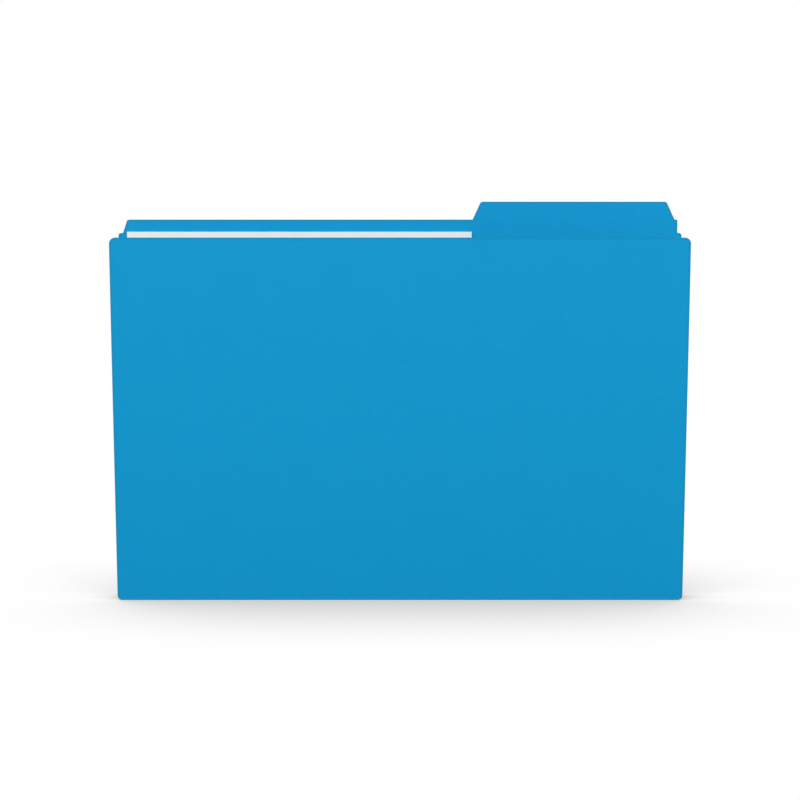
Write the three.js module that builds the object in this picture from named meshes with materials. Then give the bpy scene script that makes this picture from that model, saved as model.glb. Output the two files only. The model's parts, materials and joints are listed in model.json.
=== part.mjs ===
// A top-tab file folder of blue card, standing slightly open on its flat scored base, with a sheaf
// of white sheets inside. Millimetres, +Z up. The origin is the centre of the base's underside.
// +X runs to the right along the folds as seen from the front, and +Y towards the back cover.

import * as THREE from 'three';

// Driving dimensions, card

const CARD_THICKNESS = 0.5;
const FOLDER_WIDTH = 345; // along the folds
const FOLD_CORNER_RADIUS = 2.4; // rounds the covers' sides into the folds, at all four ends
const BASE_SCORE_PITCH = 6.35; // between neighbouring scores, a quarter inch
const BASE_STRIP_NAMES = ['base_front_strip', 'base_middle_strip', 'base_rear_strip'];
const SCORE_GROOVE_DEPTH = 0.15; // the crease pressed into the base's inner side

// Driving dimensions, front cover

const FRONT_HEIGHT = 221.5; // fold axis to top edge, along the card
const FRONT_LEAN_DEG = 4.37; // from upright, away from the back cover
const FRONT_TOP_CORNER_RADIUS = 3.6;

// Driving dimensions, back cover: full-width body, raised top edge, index tab

const BACK_HEIGHT = 223.1; // fold axis to the body's shoulders, along the card
const BACK_LEAN_DEG = 1.48; // from upright, away from the front cover
const BACK_SHOULDER_RADIUS = 1.5;
const RAISED_EDGE_RISE = 8.2; // above the shoulders
const RAISED_EDGE_LEFT_INSET = 2.75;
const RAISED_EDGE_LEFT_SLANT = 2.75; // how far the left end leans in over its rise
const RAISED_EDGE_LEFT_CORNER_RADIUS = 1.8;
const RAISED_EDGE_RIGHT_INSET = 2.6;
const RAISED_EDGE_RIGHT_CORNER_RADIUS = 0.9;
const TAB_RISE = 10.9; // above the raised edge
const TAB_TOP_WIDTH = 113.6;
const TAB_SLANT = 5; // how far each end leans in over the rise
const TAB_SHOULDER = 1.8; // from the tab's right foot to the raised edge's right end
const TAB_CORNER_RADIUS = 2;
const INSIDE_CORNER_RADIUS = 0.6; // where an outline turns inwards

// Driving dimensions, sheets

const SHEET_COUNT = 8;
const SHEET_WIDTH = 210;
const SHEET_HEIGHT = 223.3;
const SHEET_THICKNESS = 0.1;
const SHEET_LEFT_INSET = 6; // from the folder's left end
const SHEET_STAGGER = 0.35; // how far a sheet strays sideways in the sheaf
const SHEET_STAGGER_TURN = 2.4; // radians of a sine's phase from one sheet's stray to the next's

// Clearances

const FOLD_GAP = 0.3; // between a fold's round bead and the card on either side
const SHEET_GAP = 0.3; // from sheet to sheet, to the back cover and to the base

// Curve resolution

const CORNER_SEGMENTS = 5;
const BEAD_SIDES = 12;

// Colours

const CARD_BLUE = 0x1898cd;
const CARD_BLUE_FOLD = 0x1690c4;
const SHEET_WHITE = 0xf3f4f3;

// Worked-out places

const BEAD_RADIUS = CARD_THICKNESS / 2;
const EDGE_SETBACK = BEAD_RADIUS + FOLD_GAP; // from a fold's axis to the card's cut edge
const BASE_WIDTH = BASE_SCORE_PITCH * BASE_STRIP_NAMES.length;
const FOLD_HALF_SPAN = BASE_WIDTH / 2;
const HALF_WIDTH = FOLDER_WIDTH / 2;
const BASE_LENGTH = FOLDER_WIDTH - 2 * FOLD_CORNER_RADIUS; // of the base and its folds

// Materials

function cardMaterial(color) {
  return new THREE.MeshStandardMaterial({ color, roughness: 0.62, metalness: 0 });
}

function paperMaterial() {
  return new THREE.MeshStandardMaterial({ color: SHEET_WHITE, roughness: 0.85, metalness: 0 });
}

// A closed outline through corners [x, y, radius], each rounded by an arc tangent to both sides.
function roundedOutline(corners) {
  const shape = new THREE.Shape();
  corners.forEach(([x, y, radius], index) => {
    const corner = new THREE.Vector2(x, y);
    const previous = corners.at(index - 1);
    const next = corners[(index + 1) % corners.length];
    const towardsPrevious = new THREE.Vector2(previous[0], previous[1]).sub(corner).normalize();
    const towardsNext = new THREE.Vector2(next[0], next[1]).sub(corner).normalize();
    const halfAngle = Math.acos(towardsPrevious.dot(towardsNext)) / 2;
    const bisector = towardsPrevious.clone().add(towardsNext).normalize();
    const centre = corner.clone().addScaledVector(bisector, radius / Math.sin(halfAngle));
    const tangentLength = radius / Math.tan(halfAngle);
    const start = corner.clone().addScaledVector(towardsPrevious, tangentLength).sub(centre);
    const end = corner.clone().addScaledVector(towardsNext, tangentLength).sub(centre);
    const clockwise = start.cross(end) < 0;
    shape.absarc(centre.x, centre.y, radius, start.angle(), end.angle(), clockwise);
  });
  return shape;
}

// A flat sheet with the given outline, standing in the XZ plane, centred on Y = 0.
function standingSheet(outline, thickness) {
  const geometry = new THREE.ExtrudeGeometry(outline, {
    depth: thickness,
    bevelEnabled: false,
    curveSegments: CORNER_SEGMENTS,
  });
  geometry.rotateX(Math.PI / 2);
  geometry.translate(0, thickness / 2, 0);
  return geometry;
}

function namedMesh(name, geometry, material) {
  const mesh = new THREE.Mesh(geometry, material);
  mesh.name = name;
  return mesh;
}

// The front cover is a plain panel. Its height is measured from the fold's axis.
function frontCover() {
  const outline = roundedOutline([
    [-HALF_WIDTH, EDGE_SETBACK, FOLD_CORNER_RADIUS],
    [HALF_WIDTH, EDGE_SETBACK, FOLD_CORNER_RADIUS],
    [HALF_WIDTH, FRONT_HEIGHT, FRONT_TOP_CORNER_RADIUS],
    [-HALF_WIDTH, FRONT_HEIGHT, FRONT_TOP_CORNER_RADIUS],
  ]);
  return namedMesh('front_cover', standingSheet(outline, CARD_THICKNESS), cardMaterial(CARD_BLUE));
}

// The back cover is one die-cut panel. Its body ends in two small shoulders, the raised edge
// runs between them, and the index tab stands on the raised edge at the right.
function backCover() {
  const raisedTop = BACK_HEIGHT + RAISED_EDGE_RISE;
  const tabTop = raisedTop + TAB_RISE;
  const raisedLeft = -HALF_WIDTH + RAISED_EDGE_LEFT_INSET;
  const raisedRight = HALF_WIDTH - RAISED_EDGE_RIGHT_INSET;
  const tabFootRight = raisedRight - TAB_SHOULDER;
  const tabFootLeft = tabFootRight - TAB_TOP_WIDTH - 2 * TAB_SLANT;
  const outline = roundedOutline([
    [-HALF_WIDTH, EDGE_SETBACK, FOLD_CORNER_RADIUS],
    [HALF_WIDTH, EDGE_SETBACK, FOLD_CORNER_RADIUS],
    [HALF_WIDTH, BACK_HEIGHT, BACK_SHOULDER_RADIUS],
    [raisedRight, BACK_HEIGHT, INSIDE_CORNER_RADIUS],
    [raisedRight, raisedTop, RAISED_EDGE_RIGHT_CORNER_RADIUS],
    [tabFootRight, raisedTop, INSIDE_CORNER_RADIUS],
    [tabFootRight - TAB_SLANT, tabTop, TAB_CORNER_RADIUS],
    [tabFootLeft + TAB_SLANT, tabTop, TAB_CORNER_RADIUS],
    [tabFootLeft, raisedTop, INSIDE_CORNER_RADIUS],
    [raisedLeft + RAISED_EDGE_LEFT_SLANT, raisedTop, RAISED_EDGE_LEFT_CORNER_RADIUS],
    [raisedLeft, BACK_HEIGHT, INSIDE_CORNER_RADIUS],
    [-HALF_WIDTH, BACK_HEIGHT, BACK_SHOULDER_RADIUS],
  ]);
  return namedMesh('back_cover', standingSheet(outline, CARD_THICKNESS), cardMaterial(CARD_BLUE));
}

// One strip of the base between two scores, as a profile in Y and Z carried along X. A score
// leaves a bevel on the strip's upper edge. The strip's ends at the folds stay square.
function baseStrip(name, frontY, rearY, frontGroove, rearGroove) {
  const profile = new THREE.Shape();
  profile.moveTo(frontY, 0);
  profile.lineTo(rearY, 0);
  profile.lineTo(rearY, CARD_THICKNESS - rearGroove);
  profile.lineTo(rearY - rearGroove, CARD_THICKNESS);
  profile.lineTo(frontY + frontGroove, CARD_THICKNESS);
  profile.lineTo(frontY, CARD_THICKNESS - frontGroove);
  const geometry = new THREE.ExtrudeGeometry(profile, { depth: BASE_LENGTH, bevelEnabled: false });
  // The profile's x becomes Y, its y becomes Z, and the carried length becomes X.
  geometry.applyMatrix4(new THREE.Matrix4().set(
    0, 0, 1, -BASE_LENGTH / 2,
    1, 0, 0, 0,
    0, 1, 0, 0,
    0, 0, 0, 1,
  ));
  return namedMesh(name, geometry, cardMaterial(CARD_BLUE));
}

function baseStrips() {
  const last = BASE_STRIP_NAMES.length - 1;
  return BASE_STRIP_NAMES.map((name, index) => {
    const frontScore = -FOLD_HALF_SPAN + index * BASE_SCORE_PITCH;
    const rearScore = frontScore + BASE_SCORE_PITCH;
    const frontY = index === 0 ? frontScore + EDGE_SETBACK : frontScore;
    const rearY = index === last ? rearScore - EDGE_SETBACK : rearScore;
    const frontGroove = index === 0 ? 0 : SCORE_GROOVE_DEPTH;
    const rearGroove = index === last ? 0 : SCORE_GROOVE_DEPTH;
    return baseStrip(name, frontY, rearY, frontGroove, rearGroove);
  });
}

// The round bead that the card makes where it bends, on the axis that the cover turns about.
function foldBead(name, y) {
  const geometry = new THREE.CylinderGeometry(BEAD_RADIUS, BEAD_RADIUS, BASE_LENGTH, BEAD_SIDES);
  geometry.rotateZ(Math.PI / 2);
  const bead = namedMesh(name, geometry, cardMaterial(CARD_BLUE_FOLD));
  bead.position.set(0, y, BEAD_RADIUS);
  return bead;
}

// A cover's group has its origin on the fold's axis and leans about it.
function leaningGroup(foldY, leanDegrees) {
  const group = new THREE.Group();
  group.position.set(0, foldY, BEAD_RADIUS);
  group.rotation.x = THREE.MathUtils.degToRad(leanDegrees);
  return group;
}

// The outline of a loose sheet, with its foot on Y = 0.
function sheetOutline() {
  const outline = new THREE.Shape();
  outline.moveTo(-SHEET_WIDTH / 2, 0);
  outline.lineTo(SHEET_WIDTH / 2, 0);
  outline.lineTo(SHEET_WIDTH / 2, SHEET_HEIGHT);
  outline.lineTo(-SHEET_WIDTH / 2, SHEET_HEIGHT);
  return outline;
}

// The sheets stand on the base and lean on the back cover, so they share its group. The first
// one is the one nearest the back cover.
function sheaf() {
  const centreX = -HALF_WIDTH + SHEET_LEFT_INSET + SHEET_WIDTH / 2;
  const firstY = -(CARD_THICKNESS / 2 + SHEET_GAP + SHEET_THICKNESS / 2);
  const footZ = BEAD_RADIUS + SHEET_GAP;
  const sheets = [];
  for (let index = 0; index < SHEET_COUNT; index += 1) {
    const geometry = standingSheet(sheetOutline(), SHEET_THICKNESS);
    const sheet = namedMesh(`sheet_${index + 1}`, geometry, paperMaterial());
    const stray = SHEET_STAGGER * Math.sin(index * SHEET_STAGGER_TURN);
    const y = firstY - index * (SHEET_THICKNESS + SHEET_GAP);
    sheet.position.set(centreX + stray, y, footZ);
    sheets.push(sheet);
  }
  return sheets;
}

// Assembly

const folder = new THREE.Group();

folder.add(...baseStrips());
folder.add(foldBead('front_fold', -FOLD_HALF_SPAN));
folder.add(foldBead('rear_fold', FOLD_HALF_SPAN));

const frontGroup = leaningGroup(-FOLD_HALF_SPAN, FRONT_LEAN_DEG);
frontGroup.add(frontCover());
folder.add(frontGroup);

const backGroup = leaningGroup(FOLD_HALF_SPAN, -BACK_LEAN_DEG);
backGroup.add(backCover(), ...sheaf());
folder.add(backGroup);

export default folder;
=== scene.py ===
"""A blue card file folder, standing slightly open with a sheaf of white sheets inside.

Every piece is a thin sheet of material worked out with numpy: a middle surface on a grid, given a
thickness and a chamfered rim. Metres, +Z up, the front cover towards -Y.
"""

import json
import math

import bpy
import numpy as np
from bpy.props import FloatProperty, FloatVectorProperty, IntProperty, PointerProperty
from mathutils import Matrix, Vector


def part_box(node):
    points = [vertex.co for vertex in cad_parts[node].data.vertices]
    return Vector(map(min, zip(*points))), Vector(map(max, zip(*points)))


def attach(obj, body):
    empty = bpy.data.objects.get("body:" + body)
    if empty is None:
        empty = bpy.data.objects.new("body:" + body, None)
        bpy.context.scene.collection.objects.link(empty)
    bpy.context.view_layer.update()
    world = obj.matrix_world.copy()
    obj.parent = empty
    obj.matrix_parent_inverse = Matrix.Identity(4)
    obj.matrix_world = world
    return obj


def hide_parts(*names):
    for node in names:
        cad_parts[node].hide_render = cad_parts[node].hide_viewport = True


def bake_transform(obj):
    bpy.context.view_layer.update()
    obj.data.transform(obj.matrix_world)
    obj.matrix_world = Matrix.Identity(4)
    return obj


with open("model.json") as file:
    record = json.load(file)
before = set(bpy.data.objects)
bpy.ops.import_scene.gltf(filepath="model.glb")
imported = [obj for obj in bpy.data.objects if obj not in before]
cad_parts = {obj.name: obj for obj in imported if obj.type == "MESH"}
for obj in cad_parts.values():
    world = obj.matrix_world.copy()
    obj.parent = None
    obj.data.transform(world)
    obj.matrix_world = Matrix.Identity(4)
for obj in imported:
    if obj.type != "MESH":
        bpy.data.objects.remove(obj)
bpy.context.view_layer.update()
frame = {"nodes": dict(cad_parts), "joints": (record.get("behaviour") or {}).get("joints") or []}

bl_info = {
    "name": "File Folder",
    "version": (1, 0, 0),
    "blender": (4, 5, 0),
    "location": "View3D > Sidebar > Folder",
    "description": "Builds a card file folder with an index tab, its sheets and a plain stage",
    "category": "Object",
}

MM = 0.001
WHITE = (1.0, 1.0, 1.0)
SIDEWAYS = np.array([1.0, 0.0, 0.0])
SHEET_NODES = sorted(n for n in frame["nodes"] if n.startswith("sheet_"))

# Lines inside a die-cut edge, as shares of the rim's width, and how dark the rim is at each. The
# rim's darkening is partly a pressed rim and partly painted shade along the edge
RIM_LINES = (0.0, 0.38, 1.0)
RIM_PRESS_AND_SHADE_TONES = (0.7, 1.0, 0.0)
SMALLEST_RADIUS = 0.02 * MM

# Grids. Rows of a cover's base strip are shares of its width, counted from the bend, and rows of
# the middle strip are shares of half its span, counted from its score line
CORNER_STEPS = 7  # steps round a rounded corner of an outline
STRIP_ROWS = (1.0, 0.97, 0.94, 0.9, 0.6, 0.3)
MIDDLE_ROWS = (0.0, 0.06, 0.12, 0.25)
EASED_SHARE = 0.2  # top share of a cover over which its columns ease across to the outline
SHARP_ANGLE = math.radians(30)  # faces that meet more sharply than this are shaded apart

# How a cover's shape departs from a flat one
SIDE_BOW = 0.55  # share of the bow that is there at a cover's sides
MIDDLE_BOW = 0.45  # share of the bow that mid width adds
CURL_POWER = 8  # how steeply the curl grows towards the top corners
WEAR_REACH = 0.8  # how far a fold's wear reaches, as a share of the bend's length

# How a loose sheet's shape departs from a flat one, as shares and as radians of a wave's phase
EVEN_BOW = 0.7
WAVING_BOW = 0.3
BOW_PHASE_ACROSS = 5
BOW_PHASE_START = 0.6
RIPPLE_PHASE_ACROSS = 9
RIPPLE_PHASE_UP = 4
RIPPLE_PHASE_STEP = 2.1  # from one sheet to the next
PAPER_CHAMFER = 0.25  # chamfer of a sheet's edge, as a share of half its thickness

# Patterns of the finishes. A scale is in features to the metre along the unrolled sheet
CARD_PULP = {"scale": 34.0, "detail": 4.0}
CARD_GRAIN = {"scale": 1500.0, "stretch": (1.0, 0.45, 1.0), "detail": 4.0, "roughness": 0.7}
LONG_FIBRES = {"scale": 900.0, "stretch": (0.22, 1.0, 1.0), "detail": 1.0}
CROSS_FIBRES = {"scale": 840.0, "stretch": (1.0, 0.2, 1.0), "detail": 1.0}
SCUFF = {"scale": 420.0, "stretch": (0.5, 1.0, 1.0), "detail": 5.0, "roughness": 0.75}
PAPER_PULP = {"scale": 60.0, "detail": 4.0}
PAPER_GRAIN = {"scale": 2600.0, "detail": 3.0, "roughness": 0.65}

# Ranges of the patterns' values, and the tones, strengths and roughness that they become
WHOLE_RANGE = (0.0, 1.0)
PULP_RANGE = (0.3, 0.7)
GRAIN_RANGE = (0.25, 0.75)
POLISH_RANGE = (0.2, 0.8)
FIBRE_RANGE = (0.69, 0.74)
SCUFF_RANGE = (0.42, 0.68)
CARD_PULP_TONES = (0.99, 1.01)
CARD_GRAIN_TONES = (0.95, 1.05)
CARD_ROUGHNESS = (0.56, 0.72)
FIBRE_STRENGTHS = (0.0, 0.16)
WEAR_STRENGTHS = (0.1, 0.65)
# Darkening of the rim: partly pressed card, partly painted shade along the cut edges
RIM_PRESS_AND_SHADE_STRENGTHS = (0.0, 0.3)
CUT_EDGE_STRENGTHS = (0.0, 0.85)
PAPER_PULP_TONES = (0.985, 1.01)
PAPER_GRAIN_TONES = (0.975, 1.02)
PAPER_EDGE_STRENGTHS = (0.0, 0.3)

# Finishes that are the same all over
CARD_SPECULAR = 0.1
CARD_PULP_RELIEF = 0.35  # height of the card's pulp against its grain
CARD_BUMP = 0.22
CARD_BUMP_DEPTH = 0.06 * MM
PAPER_ROUGHNESS = 0.86
PAPER_SPECULAR = 0.25
PAPER_BUMP = 0.12
PAPER_BUMP_DEPTH = 0.03 * MM

# Stage
SHADE_SAMPLES = 16  # rays that look for cover round a point of the floor
SENSOR_WIDTH = 36.0  # millimetres
NEAREST_SEEN = 0.01  # metres from the camera


# Sizes read from the frame

def joint(name):
    """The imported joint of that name."""
    return next(j for j in frame["joints"] if j["name"] == name)


def lean_of(joint_name):
    """How far a cover leans outwards at rest: a right angle less its travel down to the desk."""
    return math.radians(90 - joint(joint_name)["range_deg"][1])


def height_along_card(node, joint_name):
    """From a fold's axis to the highest edge, along the card. The box's top is the inner corner
    of that edge: axis height + height x cos(lean) + half thickness x sin(lean)."""
    lean = lean_of(joint_name)
    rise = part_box(node)[1].z - joint(joint_name)["pos_m"][2]
    return (rise - CARD_THICKNESS / 2 * math.sin(lean)) / math.cos(lean)


CARD_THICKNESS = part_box("base_middle_strip")[1].z
FOLDER_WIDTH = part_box("front_cover")[1].x * 2
FOLD_CORNER_RADIUS = FOLDER_WIDTH / 2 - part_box("base_middle_strip")[1].x
SCORE_HALF_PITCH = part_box("base_middle_strip")[1].y
FRONT_HEIGHT = height_along_card("front_cover", "front_cover_fold")
BACK_TOTAL_HEIGHT = height_along_card("back_cover", "back_cover_fold")


# Settings that a user would change

class CardSettings(bpy.types.PropertyGroup):
    """The card's own shape and colour, the same on both covers."""

    fold_radius: FloatProperty(
        name="Fold radius", description="Radius of the bend along the middle of the card",
        default=0.75 * MM, unit="LENGTH")
    edge_chamfer: FloatProperty(
        name="Edge chamfer", description="Chamfer on the die-cut edges",
        default=0.06 * MM, unit="LENGTH")
    score_depth: FloatProperty(
        name="Score depth", description="Depth of the pressed score lines in the base",
        default=0.16 * MM, unit="LENGTH")
    score_reach: FloatProperty(
        name="Score reach", description="How far a score line reaches to either side",
        default=0.5 * MM, unit="LENGTH")
    bow: FloatProperty(
        name="Bow", description="How far a cover bows outwards at mid height",
        default=0.5 * MM, unit="LENGTH")
    corner_curl: FloatProperty(
        name="Corner curl", description="How far the top corners curl inwards",
        default=0.35 * MM, unit="LENGTH")
    # The rim's darker band is partly a pressed rim and partly painted shade along the edge
    rim_width: FloatProperty(
        name="Rim width", description="Width of the pressed band along a die-cut edge",
        default=1.3 * MM, unit="LENGTH")
    column_pitch: FloatProperty(
        name="Column pitch", description="Spacing of the grid along the folds",
        default=3.2 * MM, unit="LENGTH")
    least_step: FloatProperty(
        name="Least step", description="Least spacing of the grid's columns at a fold",
        default=0.25 * MM, unit="LENGTH")
    rows: IntProperty(
        name="Rows", description="Rows of the grid from a fold to the top edge", default=72,
        min=2)
    fold_rows: IntProperty(
        name="Fold rows", description="Rows of the grid round half a fold", default=5,
        min=2)
    corner_rows: IntProperty(
        name="Corner rows", description="Rows of the grid up a fold's rounded corners",
        default=12, min=2)
    color: FloatVectorProperty(
        name="Card colour", description="Colour of the dyed card", subtype="COLOR", size=3,
        min=0, max=1, default=(0.004, 0.337, 0.662))
    # Also the colour of the darker rim band, which partly paints shade along the edges
    edge_color: FloatVectorProperty(
        name="Cut edge colour", description="Colour of the die-cut edges", subtype="COLOR",
        size=3, min=0, max=1, default=(0.004, 0.18, 0.31))
    worn_color: FloatVectorProperty(
        name="Worn fold colour", description="Colour of the fibres raised on the folds",
        subtype="COLOR", size=3, min=0, max=1, default=(0.06, 0.42, 0.70))


class OutlineSettings(bpy.types.PropertyGroup):
    """Outlines of the two covers above their folds."""

    front_corner_radius: FloatProperty(
        name="Front corner radius", description="Radius of the front cover's top corners",
        default=3.6 * MM, unit="LENGTH")
    shoulder_radius: FloatProperty(
        name="Shoulder radius", description="Radius of the back cover's outer corners",
        default=1.5 * MM, unit="LENGTH")
    raised_rise: FloatProperty(
        name="Raised edge rise", description="Height of the raised edge above the shoulders",
        default=8.2 * MM, unit="LENGTH")
    raised_left_inset: FloatProperty(
        name="Left inset", description="From the cover's left end to the raised edge's foot",
        default=2.75 * MM, unit="LENGTH")
    raised_left_slant: FloatProperty(
        name="Left slant", description="How far the raised edge's left end leans in",
        default=2.75 * MM, unit="LENGTH")
    raised_left_radius: FloatProperty(
        name="Left radius", description="Radius of the raised edge's left corner",
        default=1.8 * MM, unit="LENGTH")
    raised_right_inset: FloatProperty(
        name="Right inset", description="From the cover's right end to the raised edge",
        default=2.6 * MM, unit="LENGTH")
    raised_right_radius: FloatProperty(
        name="Right radius", description="Radius of the raised edge's right corner",
        default=0.9 * MM, unit="LENGTH")
    tab_rise: FloatProperty(
        name="Tab rise", description="Height of the tab above the raised edge",
        default=10.9 * MM, unit="LENGTH")
    tab_top_width: FloatProperty(
        name="Tab width", description="Width of the tab along its top",
        default=113.6 * MM, unit="LENGTH")
    tab_slant: FloatProperty(
        name="Tab slant", description="How far each end of the tab leans in",
        default=5.0 * MM, unit="LENGTH")
    tab_shoulder: FloatProperty(
        name="Tab shoulder", description="From the tab's right foot to the raised edge's end",
        default=1.8 * MM, unit="LENGTH")
    tab_radius: FloatProperty(
        name="Tab radius", description="Radius of the tab's top corners",
        default=2.0 * MM, unit="LENGTH")
    inside_radius: FloatProperty(
        name="Inside radius", description="Radius where an outline turns inwards",
        default=0.6 * MM, unit="LENGTH")


class SheetSettings(bpy.types.PropertyGroup):
    """The loose sheets."""

    thickness: FloatProperty(
        name="Thickness", description="Thickness of one sheet",
        default=0.1 * MM, unit="LENGTH")
    bow: FloatProperty(
        name="Bow", description="How far the sheaf bows forwards at mid height",
        default=0.9 * MM, unit="LENGTH")
    ripple: FloatProperty(
        name="Ripple", description="How far one sheet strays from its neighbours",
        default=0.06 * MM, unit="LENGTH")
    cells: IntProperty(
        name="Cells", description="Cells of the grid along each side", default=44,
        min=2)
    color: FloatVectorProperty(
        name="Paper colour", description="Colour of the paper", subtype="COLOR", size=3,
        min=0, max=1, default=(0.95, 0.955, 0.925))
    edge_color: FloatVectorProperty(
        name="Cut edge colour", description="Colour of the sheets' cut edges",
        subtype="COLOR", size=3, min=0, max=1, default=(0.62, 0.66, 0.68))


class StageSettings(bpy.types.PropertyGroup):
    """Camera, lamps and floor."""

    lens: FloatProperty(
        name="Focal length", description="Focal length in millimetres on a 36 mm sensor",
        default=90.0, unit="CAMERA")
    pitch: FloatProperty(
        name="Pitch", description="How far the camera looks down",
        default=math.radians(5.5), subtype="ANGLE")
    camera_place: FloatVectorProperty(
        name="Camera place", description="Where the camera stands", subtype="XYZ", size=3,
        unit="LENGTH", default=(0.0, -1.2147, 0.2389))
    world_strength: FloatProperty(
        name="World light", description="Strength of the even light from all sides",
        default=0.315)
    key_place: FloatVectorProperty(
        name="Key place", description="Where the front softbox stands", subtype="XYZ", size=3,
        unit="LENGTH", default=(-0.3, -1.85, 1.25))
    key_power: FloatProperty(
        name="Key lamp", description="Power of the front softbox", default=31.5,
        unit="POWER")
    fill_place: FloatVectorProperty(
        name="Fill place", description="Where the rear softbox stands", subtype="XYZ", size=3,
        unit="LENGTH", default=(0.8, 1.8, 1.0))
    fill_power: FloatProperty(
        name="Fill lamp", description="Power of the rear softbox", default=19.0,
        unit="POWER")
    side_place: FloatVectorProperty(
        name="Side place", description="Where the side softbox stands", subtype="XYZ", size=3,
        unit="LENGTH", default=(2.0, -0.5, 0.8))
    side_power: FloatProperty(
        name="Side lamp", description="Power of the side softbox", default=10.5,
        unit="POWER")
    softbox_size: FloatProperty(
        name="Softbox size", description="Side of a square softbox", default=1.2,
        unit="LENGTH")
    floor_size: FloatProperty(
        name="Floor size", description="Side of the square floor", default=30.0, unit="LENGTH")
    floor_color: FloatVectorProperty(
        name="Floor colour", description="Colour of the floor in the light that it throws back",
        subtype="COLOR", size=3, min=0, max=1, default=(0.4, 0.4, 0.4))
    shade_reach: FloatProperty(
        name="Shade reach", description="How far the contact shade spreads on the floor",
        default=0.165, unit="LENGTH")
    shade_depth: FloatProperty(
        name="Shade depth", description="How dark the shade would be at a wholly covered point",
        default=0.95)
    shade_start: FloatProperty(
        name="Shade start", description="Covered share up to which the floor stays white",
        default=0.05)
    shade_limit: FloatProperty(
        name="Shade limit", description="The darkest that the contact shade becomes",
        default=0.45)
    shade_lean: FloatVectorProperty(
        name="Shade lean", description="Direction that the light of the contact shade leans to",
        subtype="XYZ", size=3, default=(-0.1, -0.2, 1.0))


# Outlines in the plane of the card

def rounded_polyline(corners, steps):
    """Points along a line through corners (x, s, radius). A corner with a radius becomes an arc
    tangent to both its sides: its centre lies on the bisector, radius / sin(half angle) away, and
    it starts radius / tan(half angle) before the corner. Corners without one stay as they are."""
    points = []
    for index, (x, s, radius) in enumerate(corners):
        corner = np.array([x, s])
        if radius == 0:
            points.append(corner[None, :])
            continue
        before = np.array(corners[index - 1][:2]) - corner
        after = np.array(corners[index + 1][:2]) - corner
        before /= np.linalg.norm(before)
        after /= np.linalg.norm(after)
        half = math.acos(np.clip(before @ after, -1, 1)) / 2
        bisector = (before + after) / np.linalg.norm(before + after)
        centre = corner + bisector * radius / math.sin(half)
        start = corner + before * radius / math.tan(half) - centre
        end = corner + after * radius / math.tan(half) - centre
        first = math.atan2(start[1], start[0])
        sweep = (math.atan2(end[1], end[0]) - first + math.pi) % (2 * math.pi) - math.pi
        angles = first + sweep * np.linspace(0, 1, steps + 1)
        arc = centre + radius * np.stack([np.cos(angles), np.sin(angles)], axis=1)
        points.append(arc)
    return np.concatenate(points)


def inset_corners(corners, width):
    """The same corners moved inwards by width. A corner moves to where its two moved sides meet,
    by width x (n + m) / (1 + n.m), with n and m the inward normals of its sides. The radius of an
    outward corner shrinks by width, and that of an inward one grows by it."""
    points = np.array([corner[:2] for corner in corners])
    radii = np.array([corner[2] for corner in corners])
    along = np.diff(points, axis=0)
    along /= np.linalg.norm(along, axis=1)[:, None]
    inwards = np.stack([along[:, 1], -along[:, 0]], axis=1)
    before = np.concatenate([inwards[:1], inwards])
    after = np.concatenate([inwards, inwards[-1:]])
    moved = points + width * (before + after) / (1 + np.sum(before * after, axis=1))[:, None]
    turn = before[:, 0] * after[:, 1] - before[:, 1] * after[:, 0]
    shrunk = np.maximum(radii - width, SMALLEST_RADIUS)
    radii = np.where(turn < 0, shrunk, radii + width)
    radii[[0, -1]] = 0
    return [(x, s, radius) for (x, s), radius in zip(moved, radii)]


def step_counts(points, pitch):
    """Into how many steps each stretch of a polyline is divided, so that none passes pitch."""
    lengths = np.linalg.norm(np.diff(points, axis=0), axis=1)
    return np.maximum(np.ceil(lengths / pitch), 1).astype(int)


def filled_in(points, counts):
    """The same polyline with each of its stretches divided evenly into its count of steps."""
    stretch = np.repeat(np.arange(len(counts)), counts)
    begin = np.repeat(np.cumsum(counts) - counts, counts)
    share = (np.arange(len(stretch)) - begin) / counts[stretch]
    start, end = points[stretch], points[stretch + 1]
    return np.concatenate([start + (end - start) * share[:, None], points[-1:]])


def rim_lines(corners, card):
    """The top outline and the lines that run inside it, outermost first, with as many points each.
    Where the rim turns down the sides, a line's first and last points step down beside the lines
    outside it, so that the side's own lines carry on from there."""
    cut = inset_corners(corners, card.edge_chamfer)
    counts = step_counts(rounded_polyline(cut, CORNER_STEPS), card.column_pitch)
    lines = []
    for index, line_share in enumerate(RIM_LINES):
        width = card.rim_width * line_share
        line = filled_in(rounded_polyline(inset_corners(cut, width), CORNER_STEPS), counts)
        for column in range(index):
            from_edge = card.rim_width * RIM_LINES[column]
            place = lines[0][0] + np.array([from_edge, from_edge - width])
            line[column] = place
            line[-1 - column] = place * np.array([-1, 1])
        lines.append(line)
    return lines


def front_outline(outline, card):
    """Corners of the front cover's top edge from its left side to its right side."""
    half = FOLDER_WIDTH / 2
    radius = outline.front_corner_radius
    side = FRONT_HEIGHT - radius - card.rim_width
    return [
        (-half, side, 0),
        (-half, FRONT_HEIGHT, radius),
        (half, FRONT_HEIGHT, radius),
        (half, side, 0),
    ]


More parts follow.
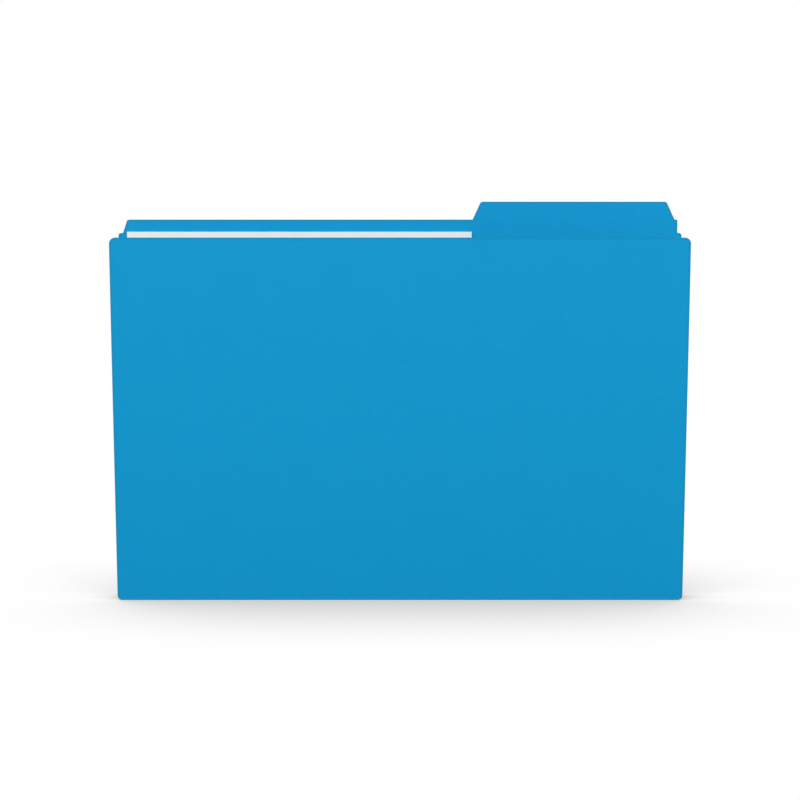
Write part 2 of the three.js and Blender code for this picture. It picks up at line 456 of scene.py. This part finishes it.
def back_outline(outline, card):
    """Corners of the back cover's top edge from left to right: shoulder, raised edge, tab,
    shoulder."""
    half = FOLDER_WIDTH / 2
    raised_top = BACK_TOTAL_HEIGHT - outline.tab_rise
    shoulder = raised_top - outline.raised_rise
    raised_left = -half + outline.raised_left_inset
    raised_right = half - outline.raised_right_inset
    foot_right = raised_right - outline.tab_shoulder
    foot_left = foot_right - outline.tab_top_width - 2 * outline.tab_slant
    inside = outline.inside_radius
    outside = outline.shoulder_radius
    side = shoulder - outside - card.rim_width
    return [
        (-half, side, 0),
        (-half, shoulder, outside),
        (raised_left, shoulder, inside),
        (raised_left + outline.raised_left_slant, raised_top, outline.raised_left_radius),
        (foot_left, raised_top, inside),
        (foot_left + outline.tab_slant, BACK_TOTAL_HEIGHT, outline.tab_radius),
        (foot_right - outline.tab_slant, BACK_TOTAL_HEIGHT, outline.tab_radius),
        (foot_right, raised_top, inside),
        (raised_right, raised_top, outline.raised_right_radius),
        (raised_right, shoulder, inside),
        (half, shoulder, outside),
        (half, side, 0),
    ]


def column_feet(top, card):
    """Where the grid's columns start on the fold. The rim's lines keep their distance from the
    sides. The others stand under their top points, but always a least step to the right of the
    one before, and are spread to the width between the rims."""
    rim = len(RIM_LINES) - 1
    steps = np.maximum(np.diff(top[rim:-rim, 0]), card.least_step)
    along = np.concatenate([[0.0], np.cumsum(steps)])
    half = -top[0, 0]
    inner = (half - card.rim_width) * (2 * along / along[-1] - 1)
    left = -half + card.rim_width * np.array(RIM_LINES[:-1])
    return np.concatenate([left, inner, -left[::-1]])


def rim_press_and_shade(rows, columns, has_top):
    """How dark the rim is at each point of a grid: by the lines along both sides, and along the top
    where has_top is true. An outer line wins over an inner one. The darkening is partly a pressed
    rim and partly painted shade along the cut edges."""
    tone = np.zeros((rows, columns))
    for index in reversed(range(len(RIM_LINES))):
        tone[:, [index, -1 - index]] = RIM_PRESS_AND_SHADE_TONES[index]
        if has_top:
            tone[-1 - index, index:columns - index] = RIM_PRESS_AND_SHADE_TONES[index]
    return tone


def smooth_step(value):
    """0 below 0, 1 above 1, and 3v^2 - 2v^3 between."""
    clipped = np.clip(value, 0, 1)
    return clipped * clipped * (3 - 2 * clipped)


# Sheet meshes

def loop_of(rows, columns):
    """Indices of a grid's border, once round: along the foot, up, back along the top, down."""
    grid = np.arange(rows * columns).reshape(rows, columns)
    return np.concatenate([grid[0], grid[1:, -1], grid[-1, -2::-1], grid[-2:0:-1, 0]])


def quads_between(first, second):
    """Quads joining two closed rings of vertex indices, turned to face away from the sheet."""
    return np.stack([first, second, np.roll(second, -1), np.roll(first, -1)], axis=1)


def sheet_faces(rows, columns, loop):
    """Quads of a closed sheet. Its vertices are the outer face's grid, the inner face's grid, the
    ring beside the outer face and the ring beside the inner one. The quads are the cells of both
    faces, those of the inner one turned round, and three bands along the rim."""
    count = rows * columns
    grid = np.arange(count).reshape(rows, columns)
    cells = np.stack([grid[:-1, :-1], grid[:-1, 1:], grid[1:, 1:], grid[1:, :-1]], axis=-1)
    cells = cells.reshape(-1, 4)
    outer_ring = 2 * count + np.arange(len(loop))
    inner_ring = outer_ring + len(loop)
    return np.concatenate([
        cells,
        cells[:, ::-1] + count,
        quads_between(loop, outer_ring),
        quads_between(outer_ring, inner_ring),
        quads_between(inner_ring, loop + count),
    ])


def unit_length(vectors):
    """The same directions, each divided by its own length."""
    return vectors / np.linalg.norm(vectors, axis=-1, keepdims=True)


def rim_directions(border, facing, upwards):
    """Which way a sheet's border faces, within the sheet. The border's tangent in the unrolled
    sheet is the middle of the steps to and from each point. With its parts t1 along X and t2 along
    the card, the border faces t2 along X and -t1 along the card. The direction along the card is
    X crossed with the normal, on the side to which the rows rise."""
    ahead = unit_length(np.roll(border, -1, axis=0) - border)
    behind = unit_length(border - np.roll(border, 1, axis=0))
    tangent = unit_length(ahead + behind)
    along_card = np.cross(SIDEWAYS, facing)
    along_card *= np.sign(np.sum(along_card * upwards, axis=1))[:, None]
    return SIDEWAYS * tangent[:, 1:2] - along_card * tangent[:, 0:1]


def sheet_mesh(name, middle, normal, flat, outer_half, inner_half, chamfer, attributes):
    """A closed thin sheet. Its broad faces are middle + normal x outer_half and middle - normal x
    inner_half. Its rim is three bands through two rings that stand chamfer outside the border and
    chamfer short of each face. flat holds each grid point's place in the unrolled sheet, which
    gives the UV map, and attributes hold one number for each grid point."""
    rows, columns = middle.shape[:2]
    loop = loop_of(rows, columns)
    across = np.gradient(middle, axis=1).reshape(-1, 3)
    upwards = np.gradient(middle, axis=0).reshape(-1, 3)
    centre = middle.reshape(-1, 3)
    facing = normal.reshape(-1, 3)
    places = flat.reshape(-1, 2)
    outer_half = outer_half.reshape(-1, 1)
    inner_half = inner_half.reshape(-1, 1)

    border = centre[loop] + chamfer * rim_directions(places[loop], facing[loop], upwards[loop])
    vertices = np.concatenate([
        centre + facing * outer_half,
        centre - facing * inner_half,
        border + facing[loop] * (outer_half[loop] - chamfer),
        border - facing[loop] * (inner_half[loop] - chamfer),
    ])
    faces = sheet_faces(rows, columns, loop)
    if np.sum(np.cross(across, upwards) * facing) < 0:
        faces = faces[:, ::-1]

    mesh = bpy.data.meshes.new(name)
    mesh.from_pydata(vertices.tolist(), [], faces.tolist())
    count = len(centre)
    source = np.concatenate([np.arange(count), np.arange(count), loop, loop])
    add_uv(mesh, places[source])
    on_rim = np.concatenate([np.zeros(2 * count), np.ones(2 * len(loop))])
    add_attribute(mesh, "cut_edge", on_rim)
    for attribute, values in attributes.items():
        add_attribute(mesh, attribute, values.reshape(-1)[source])
    mesh.shade_smooth()
    mesh.set_sharp_from_angle(angle=SHARP_ANGLE)
    return mesh


def add_uv(mesh, places):
    """A UV map holding each vertex's place in the unrolled sheet, in metres."""
    corners = np.zeros(len(mesh.loops), dtype=np.int32)
    mesh.loops.foreach_get("vertex_index", corners)
    layer = mesh.uv_layers.new(name="unrolled")
    layer.data.foreach_set("uv", places[corners].astype(np.float32).ravel())


def add_attribute(mesh, name, values):
    """One number for each vertex."""
    attribute = mesh.attributes.new(name, "FLOAT", "POINT")
    attribute.data.foreach_set("value", values.astype(np.float32))


def add_piece(name, mesh, material, nodes):
    """Puts the mesh in the scene at the origin, in place of those CAD nodes."""
    mesh.materials.append(material)
    piece = bpy.data.objects.new(name, mesh)
    bpy.context.scene.collection.objects.link(piece)
    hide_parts(*nodes)
    return piece


# Covers and base

def bend_sizes(lean, radius):
    """A bend's length along the card, radius x its angle, and how far before the fold's axis it
    starts, radius x tan(half its angle). The angle is a right angle less the lean."""
    turn = math.pi / 2 - lean
    return radius * turn, radius * math.tan(turn / 2)


def cover_section(length, fold, lean, outward, radius):
    """Section of a card that runs along the base, round the fold and up the cover.

    length is the distance along the card, 0 at the bend's start. The strip is a level line at half
    the card's thickness, the bend an arc, and the cover a straight line at the lean. The two lines
    would meet on the fold's axis. Returns the places and the outward normals."""
    arc_length, reach = bend_sizes(lean, radius)
    angle = np.clip(length, 0, arc_length) / radius
    across = -reach + radius * np.sin(angle) + np.minimum(length, 0)
    upright = radius * (1 - np.cos(angle))
    beyond = np.maximum(length - arc_length, 0)
    across = across + beyond * math.sin(lean)
    upright = upright + beyond * math.cos(lean)
    zeros = np.zeros_like(length)
    places = np.stack([zeros, fold.y + outward * across, fold.z + upright], axis=-1)
    normals = np.stack([zeros, outward * np.sin(angle), -np.cos(angle)], axis=-1)
    return places, normals


def cover_grid(top_corners, strip_width, arc_length, reach, card):
    """Places of a cover's grid points in the unrolled card: x, and the length along the card.

    The rows run from the score line in the base up to the top outline, whose rim has rows and
    columns of its own. Along the base the card's sides stand in by the fold corners' radius, and
    from the bend's middle they widen along a quarter circle, with angle a from 0 to 90 degrees: up
    by radius x (1 - cos a), in by radius x (1 - sin a). Above that the columns run straight up,
    and near the top each eases across to its own point of the outline."""
    lines = [line + np.array([0.0, arc_length - reach]) for line in rim_lines(top_corners, card)]
    rim_line = lines[-1]
    outer_lines = lines[-2::-1]
    feet = column_feet(lines[0], card)
    half_width = -feet[0]

    strip_rows = -strip_width * np.array(STRIP_ROWS)
    fold_rows = arc_length / 2 * np.linspace(0, 1, card.fold_rows)
    corner_angle = math.pi / 2 * np.linspace(0, 1, card.corner_rows)[1:]
    corner_rows = arc_length / 2 + FOLD_CORNER_RADIUS * (1 - np.cos(corner_angle))
    low = np.concatenate([strip_rows, fold_rows, corner_rows])
    low_inset = np.concatenate([
        np.full(len(strip_rows) + len(fold_rows), FOLD_CORNER_RADIUS),
        FOLD_CORNER_RADIUS * (1 - np.sin(corner_angle)),
    ])

    share = np.linspace(0, 1, card.rows + 1)[1:, None]
    eased = smooth_step((share - (1 - EASED_SHARE)) / EASED_SHARE)
    x_low = feet[None, :] * (1 - low_inset[:, None] / half_width)
    x_high = feet + (rim_line[:, 0] - feet) * eased
    x = np.concatenate([x_low, x_high, *(line[None, :, 0] for line in outer_lines)])
    length_low = np.repeat(low[:, None], len(feet), axis=1)
    length_high = low[-1] + share * (rim_line[None, :, 1] - low[-1])
    above = [line[None, :, 1] for line in outer_lines]
    return x, np.concatenate([length_low, length_high, *above])


def score_groove(distance, card):
    """Depth of a score's groove: full on the line, and down to nothing over the score's reach."""
    return card.score_depth * (1 - smooth_step(distance / card.score_reach))


def cover_mesh(name, joint_name, outward, top_corners, card):
    """A base strip, its fold and its cover as one sheet of card.

    The bow is a half sine wave over the height, fuller at mid width by a quarter cosine wave to
    each side. The curl is taken off it, and grows with a power of the height and of the distance
    from mid width, so that it shows at the top corners. Both push straight outwards, along Y. The
    fold's wear is a bell curve over the length, highest at the bend's middle."""
    fold = Vector(joint(joint_name)["pos_m"])
    lean = lean_of(joint_name)
    arc_length, reach = bend_sizes(lean, card.fold_radius)
    strip_width = abs(fold.y) - SCORE_HALF_PITCH - reach - card.edge_chamfer
    x, length = cover_grid(top_corners, strip_width, arc_length, reach, card)
    middle, normal = cover_section(length, fold, lean, outward, card.fold_radius)
    middle[..., 0] = x

    across = x / -x[-1, 0]
    height = np.clip((length - arc_length) / (length.max() - arc_length), 0, 1)
    fullness = SIDE_BOW + MIDDLE_BOW * np.cos(math.pi / 2 * across)
    bow = card.bow * np.sin(math.pi * height) * fullness
    curl = card.corner_curl * across ** CURL_POWER * height ** CURL_POWER
    middle[..., 1] += outward * (bow - curl)

    half = np.full_like(length, CARD_THICKNESS / 2)
    inner_half = half - score_groove(length + strip_width, card)
    wear = np.exp(-((length - arc_length / 2) / (arc_length * WEAR_REACH)) ** 2)
    # rim: the darker band along the cut edges, partly pressed card and partly painted edge shade
    attributes = {"fold": wear, "rim": rim_press_and_shade(*length.shape, has_top=True)}
    flat = np.stack([x, length], axis=-1)
    return sheet_mesh(
        name, middle, normal, flat, half, inner_half, card.edge_chamfer, attributes)


def base_strip_mesh(name, card):
    """The middle strip of the base: a level grid at half the card's thickness, whose rows lie
    closer towards the two score lines, where the inner face sinks by the groove."""
    half_span = SCORE_HALF_PITCH - card.edge_chamfer
    half_width = FOLDER_WIDTH / 2 - FOLD_CORNER_RADIUS - card.edge_chamfer
    inner = half_width - card.rim_width
    left = -half_width + card.rim_width * np.array(RIM_LINES[:-1])
    x = np.linspace(-inner, inner, math.ceil(FOLDER_WIDTH / card.column_pitch))
    x = np.concatenate([left, x, -left[::-1]])
    rows = np.array(MIDDLE_ROWS)
    y = half_span * np.concatenate([rows - 1, [0.0], (1 - rows)[::-1]])
    grid_y, grid_x = np.meshgrid(y, x, indexing="ij")
    half = np.full_like(grid_x, CARD_THICKNESS / 2)
    middle = np.stack([grid_x, grid_y, half], axis=-1)
    normal = np.zeros_like(middle)
    normal[..., 2] = -1
    inner_half = half - score_groove(half_span - np.abs(grid_y), card)
    # rim: the darker band along the sides, partly pressed card and partly painted edge shade
    attributes = {"fold": np.zeros_like(grid_x), "rim": rim_press_and_shade(*grid_x.shape, has_top=False)}
    flat = np.stack([grid_x, grid_y], axis=-1)
    return sheet_mesh(
        name, middle, normal, flat, half, inner_half, card.edge_chamfer, attributes)


def bend_across(piece):
    """Bakes the piece's placement into its mesh."""
    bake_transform(piece)


def add_cover(name, joint_name, outward, corners, nodes, card):
    """Adds a cover with its fold and its strip of the base, in place of those CAD nodes."""
    mesh = cover_mesh(name, joint_name, outward, corners, card)
    material = shared_material("dyed_card", card_material, card)
    piece = add_piece(name, mesh, material, nodes)
    bend_across(piece)


# Loose sheets

def loose_sheet_mesh(name, node, index, settings):
    """One loose sheet, filling its CAD node's box and leaning as the sheaf's slide does.

    With u the share of the height and v the share of the width, it bows forwards by
    sin(180 degrees x u) x (even + waving part x cos(phase + start)), the phase growing with v. It
    also ripples by sin(phase) x 4 u (1 - u), the phase growing with v, with u and from sheet to
    sheet, so that a ripple is fullest at mid height and gone at the foot and the top."""
    lift = Vector(joint("sheets_lift")["axis"]).normalized()
    forward = np.array((0, -lift.z, lift.y))
    low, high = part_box(node)
    half = settings.thickness / 2
    height = (high.z - low.z - settings.thickness * lift.y) / lift.z
    share = np.linspace(0, 1, settings.cells + 1)
    up, across = np.meshgrid(share, share, indexing="ij")
    x = low.x + (high.x - low.x) * across
    length = height * up

    waving = np.cos(BOW_PHASE_ACROSS * across + BOW_PHASE_START)
    bow = settings.bow * np.sin(math.pi * up) * (EVEN_BOW + WAVING_BOW * waving)
    phase = RIPPLE_PHASE_ACROSS * across + RIPPLE_PHASE_UP * up + RIPPLE_PHASE_STEP * index
    ripple = settings.ripple * np.sin(phase) * up * (1 - up) * 4
    start = np.array([0.0, low.y + half * lift.z, low.z + half * lift.y])
    middle = start + length[..., None] * np.array(lift)
    middle = middle + (bow + ripple)[..., None] * forward
    middle[..., 0] = x

    normal = np.broadcast_to(forward, middle.shape).copy()
    flat = np.stack([x, length + index * high.z], axis=-1)
    thickness = np.full_like(up, half)
    return sheet_mesh(
        name, middle, normal, flat, thickness, thickness, half * PAPER_CHAMFER, {})


# Materials

class Nodes:
    """Short ways to lay out a node tree. A value is a node's output, a number, or a colour or
    vector of three numbers."""

    def __init__(self, owner):
        owner.use_nodes = True
        self.tree = owner.node_tree

    def feed(self, entry, value):
        """Links an output to an input, or sets the input's own value."""
        if isinstance(value, bpy.types.NodeSocket):
            self.tree.links.new(value, entry)
        elif entry.type == "RGBA":
            entry.default_value = (*value, 1.0)
        else:
            entry.default_value = value

    def add(self, kind, values, **properties):
        """A node of that kind, with its properties set and its inputs fed."""
        node = self.tree.nodes.new(kind)
        for name, value in properties.items():
            setattr(node, name, value)
        for entry, value in values.items():
            self.feed(node.inputs[entry], value)
        return node

    def noise(self, scale, stretch=(1.0, 1.0, 1.0), detail=3.0, roughness=0.55):
        """A noise pattern that lies on the unrolled sheet, stretched along it."""
        uv = self.add("ShaderNodeUVMap", {}, uv_map="unrolled")
        place = self.add("ShaderNodeMapping", {"Vector": uv.outputs["UV"], "Scale": stretch})
        texture = self.add("ShaderNodeTexNoise", {
            "Vector": place.outputs["Vector"],
            "Scale": scale,
            "Detail": detail,
            "Roughness": roughness,
        })
        return texture.outputs["Fac"]

    def attribute(self, name):
        """A number that the mesh holds for each vertex."""
        return self.add("ShaderNodeAttribute", {}, attribute_name=name).outputs["Fac"]

    def spread(self, value, given, wanted):
        """Carries a value from one range to another, held within it."""
        node = self.add("ShaderNodeMapRange", {
            "Value": value,
            "From Min": given[0],
            "From Max": given[1],
            "To Min": wanted[0],
            "To Max": wanted[1],
        })
        return node.outputs["Result"]

    def math(self, operation, first, second):
        """Joins two numbers."""
        node = self.add("ShaderNodeMath", {0: first, 1: second}, operation=operation)
        return node.outputs[0]

    def mix(self, blend, factor, first, second):
        """Mixes two colours by a factor. The node's colours are its inputs 6 and 7, and output 2."""
        values = {0: factor, 6: first, 7: second}
        node = self.add("ShaderNodeMix", values, data_type="RGBA", blend_type=blend)
        return node.outputs[2]

    def surface(self, values, relief, strength, depth):
        """Feeds the shader's inputs, and gives it a bump of that relief, strength and depth."""
        shader = self.tree.nodes["Principled BSDF"]
        bump = self.add(
            "ShaderNodeBump", {"Strength": strength, "Distance": depth, "Height": relief})
        self.feed(shader.inputs["Normal"], bump.outputs["Normal"])
        for entry, value in values.items():
            self.feed(shader.inputs[entry], value)


def card_material(card):
    """Dyed card: cloudy pulp, a fine fibre grain, sparse pale fibres, folds where the surface has
    begun to wear pale, a darker cut edge, and a darker rim that is partly pressed card and partly
    painted shade along the edges."""
    material = bpy.data.materials.new("dyed_card")
    nodes = Nodes(material)
    pulp = nodes.noise(**CARD_PULP)
    grain = nodes.noise(**CARD_GRAIN)
    pulp_tone = nodes.spread(pulp, PULP_RANGE, CARD_PULP_TONES)
    grain_tone = nodes.spread(grain, GRAIN_RANGE, CARD_GRAIN_TONES)
    tone = nodes.math("MULTIPLY", pulp_tone, grain_tone)
    color = nodes.mix("MULTIPLY", 1.0, card.color, tone)

    long_fibres = nodes.spread(nodes.noise(**LONG_FIBRES), FIBRE_RANGE, FIBRE_STRENGTHS)
    cross_fibres = nodes.spread(nodes.noise(**CROSS_FIBRES), FIBRE_RANGE, FIBRE_STRENGTHS)
    fibres = nodes.math("MAXIMUM", long_fibres, cross_fibres)
    color = nodes.mix("MIX", fibres, color, card.worn_color)

    scuff = nodes.spread(nodes.noise(**SCUFF), SCUFF_RANGE, WEAR_STRENGTHS)
    wear = nodes.math("MULTIPLY", nodes.attribute("fold"), scuff)
    color = nodes.mix("MIX", wear, color, card.worn_color)

    # The rim's darkening is partly a pressed rim and partly painted shade along the edges; the cut
    # edge is the card's own darker edge colour
    for place, strengths in (("rim", RIM_PRESS_AND_SHADE_STRENGTHS), ("cut_edge", CUT_EDGE_STRENGTHS)):
        mask = nodes.spread(nodes.attribute(place), WHOLE_RANGE, strengths)
        color = nodes.mix("MIX", mask, color, card.edge_color)

    values = {
        "Base Color": color,
        "Roughness": nodes.spread(grain, POLISH_RANGE, CARD_ROUGHNESS),
        "Specular IOR Level": CARD_SPECULAR,
    }
    relief = nodes.math("ADD", nodes.math("MULTIPLY", pulp, CARD_PULP_RELIEF), grain)
    nodes.surface(values, relief, CARD_BUMP, CARD_BUMP_DEPTH)
    return material


def paper_material(settings):
    """Office paper: faint cloudiness, a very fine grain, and edges a little greyer than faces."""
    material = bpy.data.materials.new("white_paper")
    nodes = Nodes(material)
    grain = nodes.noise(**PAPER_GRAIN)
    pulp_tone = nodes.spread(nodes.noise(**PAPER_PULP), PULP_RANGE, PAPER_PULP_TONES)
    grain_tone = nodes.spread(grain, GRAIN_RANGE, PAPER_GRAIN_TONES)
    tone = nodes.math("MULTIPLY", pulp_tone, grain_tone)
    face = nodes.mix("MULTIPLY", 1.0, settings.color, tone)
    mask = nodes.spread(nodes.attribute("cut_edge"), WHOLE_RANGE, PAPER_EDGE_STRENGTHS)
    values = {
        "Base Color": nodes.mix("MIX", mask, face, settings.edge_color),
        "Roughness": PAPER_ROUGHNESS,
        "Specular IOR Level": PAPER_SPECULAR,
    }
    nodes.surface(values, grain, PAPER_BUMP, PAPER_BUMP_DEPTH)
    return material


def shared_material(name, make, settings):
    """The material of that name, made on its first use."""
    return bpy.data.materials.get(name) or make(settings)


# Stage

def white_to_camera(nodes, lit, seen, output):
    """Shows seen wherever the camera, a reflection or a clear pane looks, and lit elsewhere."""
    path = nodes.add("ShaderNodeLightPath", {})
    either = nodes.math(
        "MAXIMUM", path.outputs["Is Camera Ray"], path.outputs["Is Glossy Ray"])
    any_ray = nodes.math("MAXIMUM", either, path.outputs["Is Transmission Ray"])
    mix = nodes.add("ShaderNodeMixShader", {0: any_ray, 1: lit, 2: seen})
    nodes.feed(nodes.tree.nodes[output].inputs["Surface"], mix.outputs[0])


def floor_material(stage):
    """White floor. It lights the folder as a pale diffuse surface. Seen directly it is white less
    a soft neutral contact shade: depth x (the covered share of the space nearby - start), at most
    the limit."""
    material = bpy.data.materials.new("pale_floor")
    nodes = Nodes(material)
    nodes.tree.nodes.remove(nodes.tree.nodes["Principled BSDF"])
    diffuse = nodes.add("ShaderNodeBsdfDiffuse", {"Color": stage.floor_color})
    lean = nodes.add("ShaderNodeNormal", {})
    lean.outputs["Normal"].default_value = Vector(stage.shade_lean).normalized()
    values = {"Distance": stage.shade_reach, "Normal": lean.outputs["Normal"]}
    shade = nodes.add("ShaderNodeAmbientOcclusion", values, samples=SHADE_SAMPLES)
    covered = nodes.math("SUBTRACT", 1.0, shade.outputs["AO"])
    darkest_at = stage.shade_start + stage.shade_limit / stage.shade_depth
    tone = nodes.spread(covered, (stage.shade_start, darkest_at), (1.0, 1 - stage.shade_limit))
    glow = nodes.add("ShaderNodeEmission", {"Strength": tone})
    white_to_camera(nodes, diffuse.outputs[0], glow.outputs[0], "Material Output")
    return material


def set_world(stage):
    """Even light from all sides, seen as plain white."""
    world = bpy.data.worlds.new("studio")
    nodes = Nodes(world)
    light = nodes.tree.nodes["Background"]
    nodes.feed(light.inputs["Color"], WHITE)
    nodes.feed(light.inputs["Strength"], stage.world_strength)
    seen = nodes.add("ShaderNodeBackground", {"Color": WHITE})
    white_to_camera(nodes, light.outputs[0], seen.outputs[0], "World Output")
    bpy.context.scene.world = world


def add_floor(stage):
    """A square floor at the folder's foot, facing up."""
    half = stage.floor_size / 2
    corners = [(-half, -half, 0), (half, -half, 0), (half, half, 0), (-half, half, 0)]
    mesh = bpy.data.meshes.new("floor")
    mesh.from_pydata(corners, [], [(0, 1, 2, 3)])
    mesh.materials.append(floor_material(stage))
    floor = bpy.data.objects.new("floor", mesh)
    bpy.context.scene.collection.objects.link(floor)


def add_softbox(name, place, power, size):
    """A square area lamp at place, turned to face the folder's middle."""
    lamp = bpy.data.lights.new(name, "AREA")
    lamp.size = size
    lamp.energy = power
    softbox = bpy.data.objects.new(name, lamp)
    softbox.location = place
    aim = Vector((0, 0, BACK_TOTAL_HEIGHT / 2))
    softbox.rotation_euler = (aim - Vector(place)).to_track_quat("-Z", "Y").to_euler()
    bpy.context.scene.collection.objects.link(softbox)


def add_camera(stage):
    """The camera in front of the folder, looking a little down."""
    lens = bpy.data.cameras.new("camera")
    lens.lens = stage.lens
    lens.sensor_width = SENSOR_WIDTH
    lens.clip_start = NEAREST_SEEN
    camera = bpy.data.objects.new("camera", lens)
    camera.location = stage.camera_place
    camera.rotation_euler = (math.pi / 2 - stage.pitch, 0, 0)
    bpy.context.scene.collection.objects.link(camera)
    bpy.context.scene.camera = camera


# Operators, one for the stage and one for each piece or group of like pieces

class FOLDER_OT_stage(bpy.types.Operator):
    """Floor, soft light and camera"""

    bl_idname = "folder.stage"
    bl_label = "Stage"

    def execute(self, context):
        stage = context.scene.folder_stage
        add_floor(stage)
        set_world(stage)
        add_softbox("key_softbox", stage.key_place, stage.key_power, stage.softbox_size)
        add_softbox("fill_softbox", stage.fill_place, stage.fill_power, stage.softbox_size)
        add_softbox("side_softbox", stage.side_place, stage.side_power, stage.softbox_size)
        add_camera(stage)
        context.scene.view_settings.view_transform = "Standard"
        return {"FINISHED"}


class FOLDER_OT_front(bpy.types.Operator):
    """Front cover, its fold and the front strip of the base"""

    bl_idname = "folder.front"
    bl_label = "Front Cover"

    def execute(self, context):
        card = context.scene.folder_card
        corners = front_outline(context.scene.folder_outline, card)
        nodes = ("front_cover", "front_fold", "base_front_strip")
        add_cover("front_panel", "front_cover_fold", -1, corners, nodes, card)
        return {"FINISHED"}


class FOLDER_OT_back(bpy.types.Operator):
    """Back cover with its raised edge and tab, its fold and the rear strip of the base"""

    bl_idname = "folder.back"
    bl_label = "Back Cover and Tab"

    def execute(self, context):
        card = context.scene.folder_card
        corners = back_outline(context.scene.folder_outline, card)
        nodes = ("back_cover", "rear_fold", "base_rear_strip")
        add_cover("back_panel", "back_cover_fold", 1, corners, nodes, card)
        return {"FINISHED"}


class FOLDER_OT_base(bpy.types.Operator):
    """Middle strip of the base, with a score line along each side"""

    bl_idname = "folder.base"
    bl_label = "Base Strip"

    def execute(self, context):
        card = context.scene.folder_card
        mesh = base_strip_mesh("base_strip", card)
        material = shared_material("dyed_card", card_material, card)
        piece = add_piece("base_strip", mesh, material, ("base_middle_strip",))
        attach(piece, "base")
        return {"FINISHED"}


class FOLDER_OT_sheets(bpy.types.Operator):
    """The loose sheets that lean on the back cover"""

    bl_idname = "folder.sheets"
    bl_label = "Sheets"

    def execute(self, context):
        settings = context.scene.folder_sheets
        material = shared_material("white_paper", paper_material, settings)
        for index, node in enumerate(SHEET_NODES):
            mesh = loose_sheet_mesh(f"paper_{node}", node, index, settings)
            piece = add_piece(f"paper_{node}", mesh, material, (node,))
            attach(piece, "sheets")
        return {"FINISHED"}


class FOLDER_PT_sidebar(bpy.types.Panel):
    """Lists the operators and their settings"""

    bl_idname = "FOLDER_PT_sidebar"
    bl_label = "File Folder"
    bl_space_type = "VIEW_3D"
    bl_region_type = "UI"
    bl_category = "Folder"

    def draw(self, context):
        for operator in OPERATORS:
            self.layout.operator(operator.bl_idname)
        for group in SETTINGS:
            settings = getattr(context.scene, group)
            box = self.layout.box()
            for name in settings.bl_rna.properties.keys():
                if name not in ("rna_type", "name"):
                    box.prop(settings, name)


SETTINGS = {
    "folder_card": CardSettings,
    "folder_outline": OutlineSettings,
    "folder_sheets": SheetSettings,
    "folder_stage": StageSettings,
}
OPERATORS = (
    FOLDER_OT_stage, FOLDER_OT_front, FOLDER_OT_back, FOLDER_OT_base, FOLDER_OT_sheets)


def register():
    """Registers the classes and hangs the settings on the scene."""
    for cls in (*SETTINGS.values(), *OPERATORS, FOLDER_PT_sidebar):
        bpy.utils.register_class(cls)
    for name, cls in SETTINGS.items():
        setattr(bpy.types.Scene, name, PointerProperty(type=cls))


def unregister():
    """Takes the settings off the scene and unregisters the classes."""
    for name in SETTINGS:
        delattr(bpy.types.Scene, name)
    for cls in (FOLDER_PT_sidebar, *reversed(OPERATORS), *reversed(SETTINGS.values())):
        bpy.utils.unregister_class(cls)


def main():
    """Builds the folder and its stage."""
    register()
    bpy.ops.folder.stage()
    bpy.ops.folder.front()
    bpy.ops.folder.back()
    bpy.ops.folder.base()
    bpy.ops.folder.sheets()


if __name__ == "__main__":
    main()
